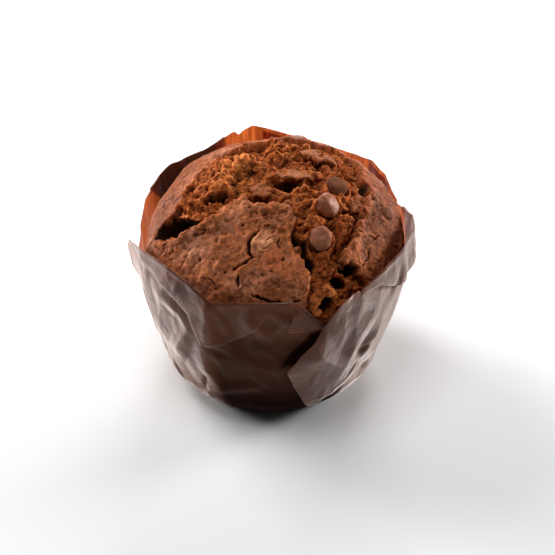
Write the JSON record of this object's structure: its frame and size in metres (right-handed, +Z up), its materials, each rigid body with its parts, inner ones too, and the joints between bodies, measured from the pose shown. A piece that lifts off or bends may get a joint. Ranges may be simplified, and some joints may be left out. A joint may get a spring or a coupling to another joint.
{
  "type": "muffin",
  "caption": "Domed chocolate muffin with a torn, craggy top and chocolate drops, in a folded brown paper case with a jagged rim.",
  "frame": {"origin": "centre of the paper case's flat base, on the plane that it rests on", "axes": "+Z up through the crown of the muffin, -Y towards the side with the crater and the low dip in the rim"},
  "size_m": [0.0906, 0.0881, 0.0766],
  "materials": {
    "crust": "baked chocolate crumb and crust, matte and rough",
    "paper": "dark brown greaseproof baking paper, thin, creased, with a soft sheen",
    "chocolate": "baked chocolate drop with a dull bloom"
  },
  "bodies": {
    "root": {"cake": "crust", "paper_case": "paper", "drop_middle": "chocolate", "drop_upper": "chocolate", "drop_lower": "chocolate", "drop_right": "chocolate", "drop_left": "chocolate", "drop_back": "chocolate", "drop_far": "chocolate"}
  },
  "joints": []
}
